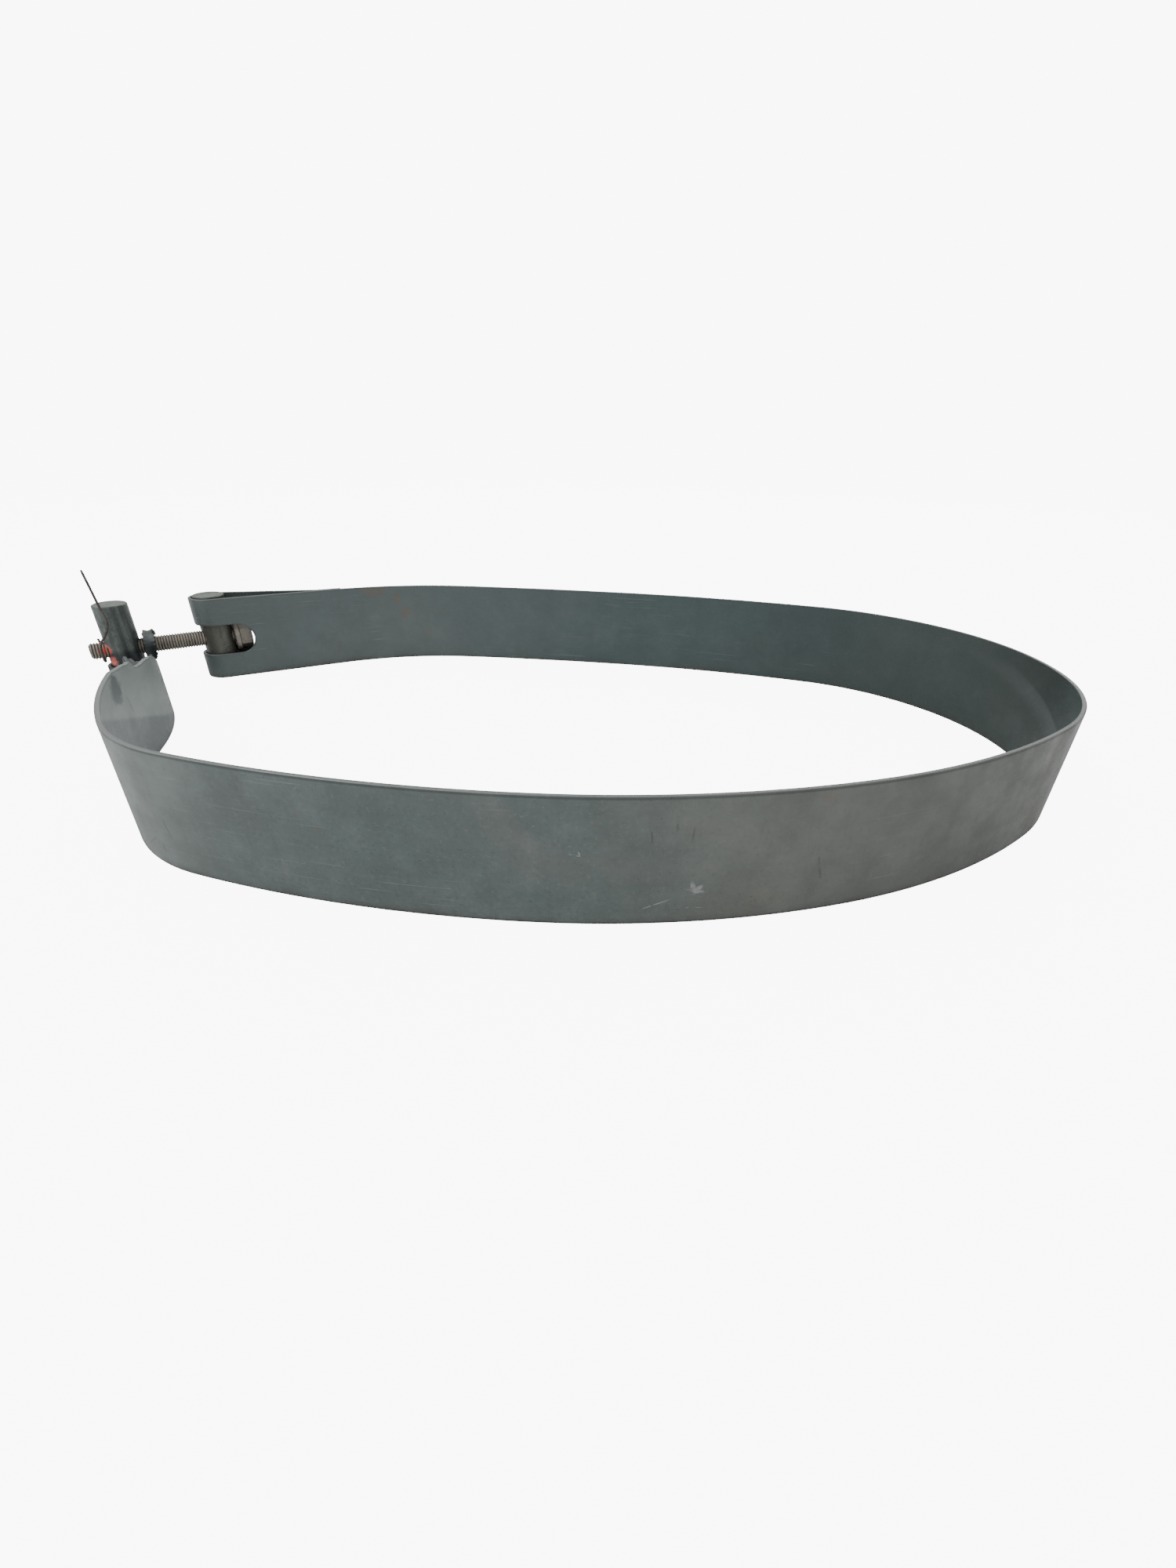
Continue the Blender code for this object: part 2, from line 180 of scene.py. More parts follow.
# ---------------- node helpers
class Nodes:
    """Short calls for building a material's node tree."""

    def __init__(self, name):
        self.mat = bpy.data.materials.new(name)
        self.mat.use_nodes = True
        self.tree = self.mat.node_tree
        self.shader = self.tree.nodes["Principled BSDF"]
        self.coords = self.make("TexCoord", "Object")

    def feed(self, value, socket):
        if isinstance(value, bpy.types.NodeSocket):
            self.tree.links.new(value, socket)
        elif value is not None:
            socket.default_value = value

    def make(self, kind, output, **values):
        """One output of a new node. Capitalised names are its inputs, the others its settings."""
        node = self.tree.nodes.new("ShaderNode" + kind)
        for name, value in values.items():
            if name[0].isupper():
                self.feed(value, node.inputs[name.replace("_", " ")])
            else:
                setattr(node, name, value)
        return node.outputs[output]

    def attribute(self, name, output="Fac"):
        return self.make("Attribute", output, attribute_name=name)

    def split(self, vector):
        """The X, Y and Z of a vector."""
        node = self.tree.nodes.new("ShaderNodeSeparateXYZ")
        self.feed(vector, node.inputs[0])
        return node.outputs

    def normal_z(self):
        """How far the flat face under a point looks up."""
        return self.split(self.make("NewGeometry", "True Normal"))[2]

    def mapped(self, scale, vector=None, offset=(0, 0, 0)):
        return self.make("Mapping", "Vector", Vector=vector or self.coords, Scale=scale, Location=offset)

    def noise(self, scale, vector=None, detail=4.0, rough=0.55, distortion=0.0):
        return self.make("TexNoise", "Fac", Vector=vector or self.coords, Scale=scale, Detail=detail,
                         Roughness=rough, Distortion=distortion)

    def cells(self, scale, vector):
        return self.make("TexVoronoi", "Distance", Vector=vector, Scale=scale)

    def math(self, operation, a, b=0.0, c=0.0):
        node = self.tree.nodes.new("ShaderNodeMath")
        node.operation = operation
        for value, socket in zip((a, b, c), node.inputs):
            self.feed(value, socket)
        return node.outputs["Value"]

    def times(self, first, *others):
        for value in others:
            first = self.math("MULTIPLY", first, value)
        return first

    def vector_math(self, operation, vector, value=None):
        node = self.tree.nodes.new("ShaderNodeVectorMath")
        node.operation = operation
        self.feed(vector, node.inputs[0])
        self.feed(value, node.inputs[1])
        return node.outputs["Value" if operation in ("LENGTH", "DISTANCE") else "Vector"]

    def remap(self, value, low, high, to_low=0.0, to_high=1.0):
        return self.make("MapRange", "Result", interpolation_type="SMOOTHSTEP", Value=value,
                         From_Min=low, From_Max=high, To_Min=to_low, To_Max=to_high)

    def mix(self, factor, a, b):
        node = self.tree.nodes.new("ShaderNodeMix")
        node.data_type = "RGBA"
        self.feed(factor, node.inputs[0])
        for value, socket in ((a, node.inputs[6]), (b, node.inputs[7])):
            self.feed((*value, 1.0) if isinstance(value, tuple) else value, socket)
        return node.outputs[2]

    def tint(self, colour, mask, strength, tone):
        """A colour moved towards a tone, by the mask times the strength."""
        return self.mix(self.times(mask, strength), colour, tone)

    def bump(self, height, strength, distance, normal=None):
        return self.make("Bump", "Normal", Height=height, Strength=strength, Distance=distance, Normal=normal)

    def spot(self, vector, centre, size, ragged, raggedness):
        """1 inside a soft blob at a point of a coordinate, its edge broken by a noise, 0 outside."""
        scaled = self.vector_math("DIVIDE", self.vector_math("SUBTRACT", vector, centre), size)
        edge = self.math("MULTIPLY_ADD", ragged, raggedness * 2, -raggedness)
        return self.remap(self.math("ADD", self.vector_math("LENGTH", scaled), edge), 1.0, 0.55)

    def stroke(self, vector, centre, angle, length, width):
        """1 on a straight mark of a length and width at a point of a coordinate, 0 off it."""
        shifted = self.vector_math("SUBTRACT", vector, (*centre, 0.0))
        turned = self.make("VectorRotate", "Vector", rotation_type="Z_AXIS", Vector=shifted, Angle=-angle)
        scaled = self.vector_math("DIVIDE", turned, (length / 2, width / 2, 1e6))
        return self.remap(self.vector_math("LENGTH", scaled), 1.0, 0.5)

    def largest(self, values):
        result = 0.0
        for value in values:
            result = self.math("MAXIMUM", value, result)
        return result

    def finish(self, colour, roughness, metallic, normal):
        names = ("Base Color", "Roughness", "Metallic", "Normal")
        for name, value in zip(names, (colour, roughness, metallic, normal)):
            self.feed(value, self.shader.inputs[name])
        return self.mat


# ---------------- the strap's route
def loop_run(straight, radius):
    """The tail and the wrap round a barrel, from the tail's end to the strap's end beside the barrel."""
    reach = TAIL_LENGTH - TAIL_PAD
    if radius is None:
        pad, swing = (None, TAIL_PAD), 0.0
        centre = (reach, LIFT - WRAP_R + TAIL_BEND)
    else:
        inner = radius - LIFT
        pad, swing = (inner, math.degrees(TAIL_PAD / inner)), (reach - straight) / radius
        centre = (straight + (inner - TAIL_BEND) * math.sin(swing),
                  radius - WRAP_R - (inner - TAIL_BEND) * math.cos(swing))
    distance = math.hypot(*centre)
    slope = math.asin((WRAP_R + TAIL_BEND) / distance) - math.atan2(centre[1], centre[0])
    free = math.sqrt(distance ** 2 - (WRAP_R + TAIL_BEND) ** 2)
    return [pad, (TAIL_BEND, math.degrees(slope + swing)), (None, free), (-WRAP_R, 180 + math.degrees(slope))]


class Route:
    """The strap's centreline as tangent arcs, read at any distance from the right tail's end."""

    def __init__(self):
        right_tail = loop_run(STRAP_RUN[0][1], None)
        left_tail = loop_run(STRAP_RUN[-1][1], -STRAP_RUN[-2][0])
        run = right_tail + STRAP_RUN + left_tail[::-1]
        self.parts = []
        x = y = h = s = 0.0
        for radius, amount in run:
            if radius is None:
                length, bend = amount, 0.0
            else:
                length, bend = abs(radius) * math.radians(amount), -1.0 / radius
            self.parts.append((s, x, y, h, bend))
            x, y, h = self.step(x, y, h, bend, length)
            s += length
        self.length = s
        self.first = self.parts[len(right_tail)][0]
        self.last = self.parts[len(right_tail) + len(STRAP_RUN)][0]
        self.starts = [p[0] for p in self.parts] + [s]
        x, y, h = self.local(self.first)
        self.turn = START_HEADING - h
        self.shift = (0.0, 0.0)
        x, y, h = self.at(self.first)
        self.shift = (RIGHT[0] - (x - WRAP_R * math.sin(h)), RIGHT[1] - (y + WRAP_R * math.cos(h)))

    @staticmethod
    def step(x, y, h, bend, length):
        if abs(bend) < 1e-9:
            return x + length * math.cos(h), y + length * math.sin(h), h
        end = h + bend * length
        return x + (math.sin(end) - math.sin(h)) / bend, y - (math.cos(end) - math.cos(h)) / bend, end

    def local(self, s):
        part = [p for p in self.parts if p[0] <= s + 1e-12][-1]
        return self.step(part[1], part[2], part[3], part[4], s - part[0])

    def at(self, s):
        """x, y and heading in the shared frame."""
        x, y, h = self.local(s)
        c, k = math.cos(self.turn), math.sin(self.turn)
        return c * x - k * y + self.shift[0], k * x + c * y + self.shift[1], h + self.turn


def along_of(route, s, centre, heading):
    """The distance outwards from a barrel's axis of the strap's point at s."""
    x, y, _ = route.at(s)
    return (x - centre[0]) * math.cos(heading) + (y - centre[1]) * math.sin(heading)


def solve(function, low, high):
    """Where a function of s that changes sign between two ends is zero."""
    sign = function(low) > 0
    for _ in range(50):
        middle = (low + high) / 2
        if (function(middle) > 0) == sign:
            low = middle
        else:
            high = middle
    return (low + high) / 2


# ---------------- meshes
def add_piece(name, vertices, faces, degrees):
    """A mesh object, smooth except where its faces meet at a sharper angle than this."""
    mesh = bpy.data.meshes.new(name)
    mesh.from_pydata([tuple(v) for v in vertices], [], faces)
    bm = bmesh.new()
    bm.from_mesh(mesh)
    bm.normal_update()
    bmesh.ops.recalc_face_normals(bm, faces=bm.faces)
    bm.to_mesh(mesh)
    bm.free()
    mesh.shade_smooth()
    mesh.set_sharp_from_angle(angle=math.radians(degrees))
    return add_object(name, mesh)


def store(ob, name, values):
    """Keeps a number or a vector for each point of a piece, for its finish to read."""
    values = np.array(values, np.float32)
    kind, key = ("FLOAT", "value") if values.ndim == 1 else ("FLOAT_VECTOR", "vector")
    ob.data.attributes.new(name, kind, "POINT").data.foreach_set(key, values.ravel())


def ragged(rng, table, amount):
    """A table of (distance, height) read at close steps, with small random teeth."""
    xs = np.arange(0.0, TORN_REACH, TORN_STEP)
    ys = np.interp(xs, [p[0] for p in table], [p[1] for p in table])
    teeth = rng.normal(0.0, amount, len(xs))
    teeth = 0.6 * teeth + 0.4 * np.roll(teeth, 1)
    fade = np.clip((xs - 0.019) / 0.004, 0, 1) * np.clip((WIDTH - ys) / 0.003, 0, 1)
    return xs, ys + teeth * fade


def weld_spots(route):
    """Where the tails are welded down, as (distance, height): on the tails, and on the strap under them."""
    tails = [(TAIL_PAD / 2, z) for z in WELD_HEIGHTS]
    tails += [(route.length - TAIL_PAD / 2, z) for z in WELD_HEIGHTS[:2]]
    under = [(route.first + TAIL_LENGTH - TAIL_PAD / 2, z) for z in WELD_HEIGHTS]
    under += [(route.last - TAIL_LENGTH + TAIL_PAD / 2, z) for z in WELD_HEIGHTS[:2]]
    return tails, under


class Outline:
    """The strap's height and the half height of its right slot, at any distance along its route."""

    def __init__(self, route, rng):
        self.route = route
        self.right_heading = route.at(route.first)[2]
        self.left_heading = route.at(route.last)[2] + math.pi
        self.right_wrap, self.left_wrap_end = route.starts[3], route.starts[-4]
        self.slot_start = solve(lambda s: self.from_right(s) - TAIL_SLOT_END, TAIL_PAD, self.right_wrap)
        self.slot_end = solve(lambda s: self.from_right(s) - SLOT_END, route.first, route.first + 0.06)
        self.main_tear = ragged(rng, TORN_MAIN, 0.00022)
        self.tail_tear = ragged(rng, TORN_TAIL, 0.00028)

    def from_right(self, s):
        return along_of(self.route, s, RIGHT, self.right_heading)

    def top(self, s):
        if s < self.route.last - TORN_REACH:
            return WIDTH
        if s <= self.route.last:
            return float(np.interp(self.route.last - s, *self.main_tear))
        if s >= self.left_wrap_end:
            return float(np.interp(along_of(self.route, s, LEFT, self.left_heading), *self.tail_tear))
        return TORN_MAIN[0][1]

    def slot_half(self, s):
        inside = min(s - self.slot_start, self.slot_end - s)
        if inside <= 0:
            return 0.0
        return math.sqrt(max(SLOT_HALF ** 2 - max(SLOT_HALF - inside, 0.0) ** 2, 0.0))

    def margin(self, s, z, high):
        """How far a point is from the nearest of the upper edge, the lower edge and the slot."""
        beyond = max(self.slot_start + SLOT_HALF - s, s - self.slot_end + SLOT_HALF, 0.0)
        return min(z, high - z, max(math.hypot(beyond, z - BOLT_Z) - SLOT_HALF, 0.0))

    def curl(self, s, z, high):
        """How far the torn edge is bent out of the sheet."""
        wrapped = self.route.last < s < self.left_wrap_end
        if high >= WIDTH - 0.0004 or s <= self.route.last - TORN_REACH or wrapped:
            return 0.0
        return CURL * max(0.0, 1 - (high - z) / CURL_DEPTH) ** 2 * math.sin(s * 210.0)


def strap_columns(route, outline):
    """Distances at which the strap's sheet is divided: close together where it is cut, bent or torn."""
    values = set()
    for (start, end), part in zip(zip(route.starts, route.starts[1:]), route.parts):
        bend = abs(part[4])
        step = 0.00045 if bend > 50 else 0.0011 if bend > 20 else 0.0034
        count = max(2, math.ceil((end - start) / step))
        values.update(start + (end - start) * k / count for k in range(count + 1))
    tips = [SLOT_HALF * (1 - math.cos(math.radians(a))) for a in range(0, 91, 6)]
    for tip in tips + [-e for e in EDGE_STEPS[1:]]:
        values.update((outline.slot_start + tip, outline.slot_end - tip))
    pad, pad_step = TAIL_PAD / 2, 0.0008
    for middle, spread, step in (
        (route.last - 0.07, 0.069, TORN_STEP), (route.length - 0.039, 0.039, TORN_STEP),
        (pad, 0.006, pad_step), (route.length - pad, 0.006, pad_step),
        (route.first + TAIL_LENGTH - pad, 0.006, pad_step),
    ):
        values.update(np.arange(middle - spread, middle + spread, step))
    kept = [0.0]
    for v in sorted(v for v in values if 0 <= v <= route.length):
        if v - kept[-1] > 0.00008:
            kept.append(v)
    kept[-1] = route.length
    return kept


def band_levels(low, high, inner=12):
    """Heights across one band of the sheet, close together at both of its edges."""
    edge = [e * min(1.0, (high - low) / 0.004) for e in EDGE_STEPS]
    middle = np.linspace(low + edge[-1], high - edge[-1], inner + 2)[1:-1]
    return [low + e for e in edge] + list(middle) + [high - e for e in reversed(edge)]


class Sheet:
    """The strap's points, column by column, and what its finish reads at each of them."""

    def __init__(self, route, outline):
        self.route, self.outline = route, outline
        self.welds = sum(weld_spots(route), [])
        self.vertices, self.places, self.margins = [], [], []
        self.columns, self.opened = [], []
        for s in strap_columns(route, outline):
            self.add_column(s)

    def add_column(self, s):
        """One column: two bands of levels that meet at mid height, or leave the slot open between them."""
        high = self.outline.top(s)
        middle = min(BOLT_Z, 0.5 * high)
        half = self.outline.slot_half(s)
        opened = half > OPEN
        levels = band_levels(0.0, middle - half) + band_levels(middle + half, high)
        rows = []
        for j, z in enumerate(levels):
            if j == len(levels) // 2 and not opened:
                rows.append(rows[-1])
            else:
                rows.append(self.add_pair(s, z, high))
        self.columns.append(rows)
        self.opened.append(opened)

    def add_pair(self, s, z, high):
        """One point on each face, at a distance and height."""
        x, y, h = self.route.at(s)
        margin = self.outline.margin(s, z, high)
        half_thick = HALF_THICK * float(np.interp(margin, *zip(*EDGE_SHAPE)))
        half_thick *= float(np.interp(min(s, self.route.length - s), (0.0, 0.0004), (0.75, 1.0)))
        curl = self.outline.curl(s, z, high)
        nearest = min(math.hypot(s - weld_s, z - weld_z) for weld_s, weld_z in self.welds) / WELD_R
        dent = WELD_DENT * max(0.0, 1 - nearest * nearest)
        for side, offset in ((1.0, half_thick + curl), (-1.0, curl - half_thick + dent)):
            self.vertices.append((x - math.sin(h) * offset, y + math.cos(h) * offset, z))
            self.places.append((s, z, side))
            self.margins.append(margin)
        return len(self.vertices) - 2, len(self.vertices) - 1

    def faces(self):
        """Both faces of the sheet and all its free edges, the slot's among them."""
        faces = []

        def quad(*ring):
            ring = [v for k, v in enumerate(ring) if v != ring[k - 1]]
            if len(ring) > 2:
                faces.append(tuple(ring))

        count = len(self.columns[0])
        low, high = count // 2 - 1, count // 2
        for i, (p, q) in enumerate(zip(self.columns, self.columns[1:])):
            for j in range(count - 1):
                if j != low:
                    quad(p[j][0], q[j][0], q[j + 1][0], p[j + 1][0])
                    quad(p[j][1], p[j + 1][1], q[j + 1][1], q[j][1])
            quad(p[0][0], p[0][1], q[0][1], q[0][0])
            quad(p[-1][0], q[-1][0], q[-1][1], p[-1][1])
            if self.opened[i] or self.opened[i + 1]:
                quad(p[low][0], q[low][0], q[low][1], p[low][1])
                quad(p[high][0], p[high][1], q[high][1], q[high][0])
        for rows in (self.columns[0], self.columns[-1]):
            for j in range(count - 1):
                if j != low:
                    quad(rows[j][0], rows[j + 1][0], rows[j + 1][1], rows[j][1])
        return faces


def make_strap(rng):
    """The whole strap as one closed sheet, from tail to tail, with its two slots and the torn left end."""
    route = Route()
    sheet = Sheet(route, Outline(route, rng))
    strap = add_piece("strap", sheet.vertices, sheet.faces(), 32)
    store(strap, "sheet", sheet.places)
    store(strap, "margin", sheet.margins)
    return strap, route


def lathe(name, profile, origin, axis, start, sides=96, degrees=30.0, shape=None):
    """A closed turned piece, from (distance along the axis, radius) pairs between its two centre points."""
    axis = np.array(axis) / np.linalg.norm(axis)
    start = np.array(start) - np.dot(start, axis) * axis
    start /= np.linalg.norm(start)
    other = np.cross(axis, start)
    vertices = [origin + axis * profile[0][0]]
    for k, (along, radius) in enumerate(profile):
        for i in range(sides):
            a = 2 * math.pi * i / sides
            r, x = (radius, along) if shape is None else shape(k, along, radius, a)
            vertices.append(origin + axis * x + (start * math.cos(a) + other * math.sin(a)) * r)
    vertices.append(origin + axis * profile[-1][0])
    faces = []
    for i in range(sides):
        j = (i + 1) % sides
        faces.append((0, 1 + j, 1 + i))
        for k in range(len(profile) - 1):
            a, b = 1 + k * sides, 1 + (k + 1) * sides
            faces.append((a + i, a + j, b + j, b + i))
        last = 1 + (len(profile) - 1) * sides
        faces.append((last + i, last + j, len(vertices) - 1))
    return add_piece(name, vertices, faces, degrees)


def subtract(ob, cutters):
    """Cuts other meshes out of an object's mesh for good, and removes them."""
    for cutter in cutters:
        mod = ob.modifiers.new("cut", "BOOLEAN")
        mod.operation = "DIFFERENCE"
        mod.solver = "EXACT"
        mod.object = cutter
    bpy.context.view_layer.update()
    mesh = bpy.data.meshes.new_from_object(ob.evaluated_get(bpy.context.evaluated_depsgraph_get()))
    ob.modifiers.clear()
    ob.data = mesh
    mesh.set_sharp_from_angle(angle=math.radians(28))
    for cutter in cutters:
        bpy.data.objects.remove(cutter, do_unlink=True)


def make_barrel(name, centre, rng, spot_face):
    """A short bar with broken edges and slightly uneven sawn ends, drilled across for the bolt."""
    foot = np.array([centre[0], centre[1], 0.0])
    tilt = rng.uniform(0, 2 * math.pi)
    r = BARREL_R - 0.00003
    top = BARREL_L

    def shape(k, along, radius, a):
        wobble = 0.00002 * math.sin(3 * a + tilt) + 0.000015 * math.sin(7 * a)
        return radius - abs(wobble), along

    profile = [(0.0, r - 0.0011), (0.0, r - 0.0006), (0.0002, r - 0.00025), (0.0006, r)]
    profile += [(z, r) for z in np.linspace(0.003, top - 0.003, 16)]
    profile += [(top - 0.0006, r), (top - 0.0002, r - 0.00022), (top - 0.00003, r - 0.0006)]
    profile += [(top - 0.00003, r - 0.0011), (top - 0.00008, 0.0035), (top - 0.00012, 0.0012)]
    barrel = lathe(name, profile, foot, UP, SIDE, 96, 30, shape)
    middle = foot + UP * BOLT_Z
    past, hole, mill = 0.02, BOLT_R + 0.0002, WASHER_R + 3 * GAP
    tools = [lathe("hole", [(-past, hole), (past, hole)], middle, U, UP, 48)]
    if spot_face:
        tools.append(lathe("mill", [(SPOT_FACE, mill), (past, mill)], middle, U, UP, 64))
    subtract(barrel, tools)
    return barrel


def make_bolt():
    """Full-thread bolt: a helical thread cut in the shank, a chamfered tip and a chamfered hex head."""
    seat = SPOT_FACE + WASHER_THICK + 2 * GAP
    start, top = seat - BOLT_LENGTH, seat + HEAD_HEIGHT
    per_pitch, depth, crest = 8, 0.0008, BOLT_R - 0.00004
    reach = HEAD_FLATS / 2
    flat_ring = reach * 0.955
    count = int((BOLT_LENGTH - 0.0016) / PITCH * per_pitch)
    profile = [(start, 0.0022), (start + 0.00002, 0.0034)]
    profile += [(start + 0.0001 + k * PITCH / per_pitch, crest) for k in range(count)]
    thread_rows = len(profile)
    profile += [(seat - 0.0012, BOLT_R - 0.0003), (seat, crest), (seat, reach * 0.93)]
    profile += [(seat + 0.0001, reach), (seat + 0.003, reach), (top, reach), (top, flat_ring)]
    profile += [(top - 0.00015, reach * 0.8), (top - 0.0002, reach * 0.3)]

    def shape(k, along, radius, a):
        if 2 <= k < thread_rows:
            phase = (along / PITCH + a / (2 * math.pi)) % 1.0
            tooth = min(1.0, max(0.0, 1.45 - abs(phase - 0.5) * 3.4))
            chamfer = max(0.0, 0.0013 - (along - start)) * 0.9
            return min(radius - depth * (1 - tooth), BOLT_R - chamfer - 0.0002), along
        if radius == reach:
            swing = (math.degrees(a) + 30) % 60 - 30
            corner = reach / math.cos(math.radians(30 - abs(swing)))
            if along > seat + 0.005:
                along -= max(0.0, corner - flat_ring) * math.tan(math.radians(28))
            return corner, along
        return radius, along

    return lathe("bolt", profile, RIGHT, U, UP, 60, 26, shape)


def make_washer():
    """A punched washer: one edge rolled over, the other sharp."""
    origin = RIGHT + U * (SPOT_FACE + GAP)
    t, r, bore = WASHER_THICK, WASHER_R - 0.00003, BOLT_R + 0.0003
    ring = [(0.0, bore + 0.0002), (0.0, r - 0.0005), (0.00012, r - 0.0002), (0.0005, r), (t - 0.0001, r)]
    ring += [(t, r - 0.00015), (t, bore + 0.0001), (t - 0.0001, bore), (0.0002, bore)]
    sides, rings = 72, len(ring)
    vertices, faces = [], []
    other = np.cross(U, UP)
    for along, radius in ring:
        for i in range(sides):
            a = 2 * math.pi * i / sides
            vertices.append(origin + U * along + (UP * math.cos(a) + other * math.sin(a)) * radius)
    for k in range(rings):
        here, after = k * sides, (k + 1) % rings * sides
        for i in range(sides):
            j = (i + 1) % sides
            faces.append((here + i, here + j, after + j, after + i))
    return add_piece("washer", vertices, faces, 28)


def smooth_route(route, steps):
    """Points on a smooth curve through the route's own points."""
    points = []
    for i in range(len(route) - 1):
        before, a = route[max(i - 1, 0)], route[i]
        b, after = route[i + 1], route[min(i + 2, len(route) - 1)]
        for k in range(steps):
            t = k / steps
            bend = (2 * before - 5 * a + 4 * b - after) * t * t + (3 * a - before - 3 * b + after) * t ** 3
            points.append((2 * a + (b - before) * t + bend) / 2)
    points.append(route[-1])
    return points


def tube(name, points, radii):
    """A closed round tube along points, with a radius at each of them."""
    sides = 12
    vertices, faces = [], []
    normal = None
    for i, p in enumerate(points):
        ahead = points[min(i + 1, len(points) - 1)] - points[max(i - 1, 0)]
        ahead = ahead / np.linalg.norm(ahead)
        if normal is None:
            normal = np.cross(ahead, UP)
            normal /= np.linalg.norm(normal)
        normal = normal - np.dot(normal, ahead) * ahead
        normal /= np.linalg.norm(normal)
        other = np.cross(ahead, normal)
        for k in range(sides):
            a = 2 * math.pi * k / sides
            vertices.append(p + (normal * math.cos(a) + other * math.sin(a)) * radii[i])
    for i in range(len(points) - 1):
        for k in range(sides):
            m = (k + 1) % sides
            faces.append((i * sides + k, i * sides + m, (i + 1) * sides + m, (i + 1) * sides + k))
    faces.append(tuple(reversed(range(sides))))
    faces.append(tuple(range((len(points) - 1) * sides, len(points) * sides)))
    return add_piece(name, vertices, faces, 50)


def make_wire():
    """Tie wire, hooked under the bolt outside the left barrel, its free end standing up past the barrel."""
    foot = np.array([LEFT[0], LEFT[1], 0.0])
    hook = foot + UP * BOLT_Z - U * (BARREL_R + 0.0022)
    turns = [math.radians(110 + 18 * k) for k in range(13)]
    route = [hook + (SIDE * math.cos(a) + UP * math.sin(a)) * HOOK_R for a in turns]
    for x, y, z in ((-0.01, 0.0095, 0.03), (-0.006, 0.012, 0.036), (-0.0032, 0.012, 0.0425),
                    (-0.0042, 0.0108, 0.052), (-0.0066, 0.0084, 0.072)):
        route.append(foot + U * x + SIDE * y + UP * z)
    points = smooth_route(route, 6)
    radii = [WIRE_R] * (len(points) - 1) + [WIRE_TIP_R]
    return tube("tie_wire_strand", points, radii)


def make_tongue(rng):
    """The torn upper ear's remnant: a crumpled strip of the strap that arches over the bolt."""
    centre = np.array([LEFT[0], LEFT[1], BOLT_Z])
    thick, uneven, swing, first = 0.0018, 0.0002, 205, -62
    steps, across = 44, 7
    vertices, faces = [], []
    for i in range(steps + 1):
        t = i / steps
        a = math.radians(first + swing * t)
        radius = 0.0064 + 0.0006 * math.sin(math.pi * t)
        left = 0.0102 + 0.003 * t * t + uneven * rng.normal()
        right = left + 0.0046 + 0.0014 * math.sin(math.pi * min(1.0, 1.3 * t)) + uneven * rng.normal()
        lean = 0.0016 * (1 - t)
        for face in (0, 1):
            for k in range(across):
                f = k / (across - 1)
                r = radius + thick * face + 0.0007 * (2 * f - 1) ** 2
                p = centre + U * (left + (right - left) * f) + SIDE * (r * math.cos(a) + lean)
                vertices.append(p + UP * r * math.sin(a))
    ring = 2 * across
    for i in range(steps):
        a, b = i * ring, (i + 1) * ring
        for k in range(across - 1):
            faces.append((a + k, a + k + 1, b + k + 1, b + k))
            faces.append((a + across + k, b + across + k, b + across + k + 1, a + across + k + 1))
        faces.append((a, b, b + across, a + across))
        faces.append((a + across - 1, a + ring - 1, b + ring - 1, b + across - 1))
    for a in (0, steps * ring):
        for k in range(across - 1):
            faces.append((a + k, a + across + k, a + across + k + 1, a + k + 1))
    return add_piece("torn_tongue", vertices, faces, 40)


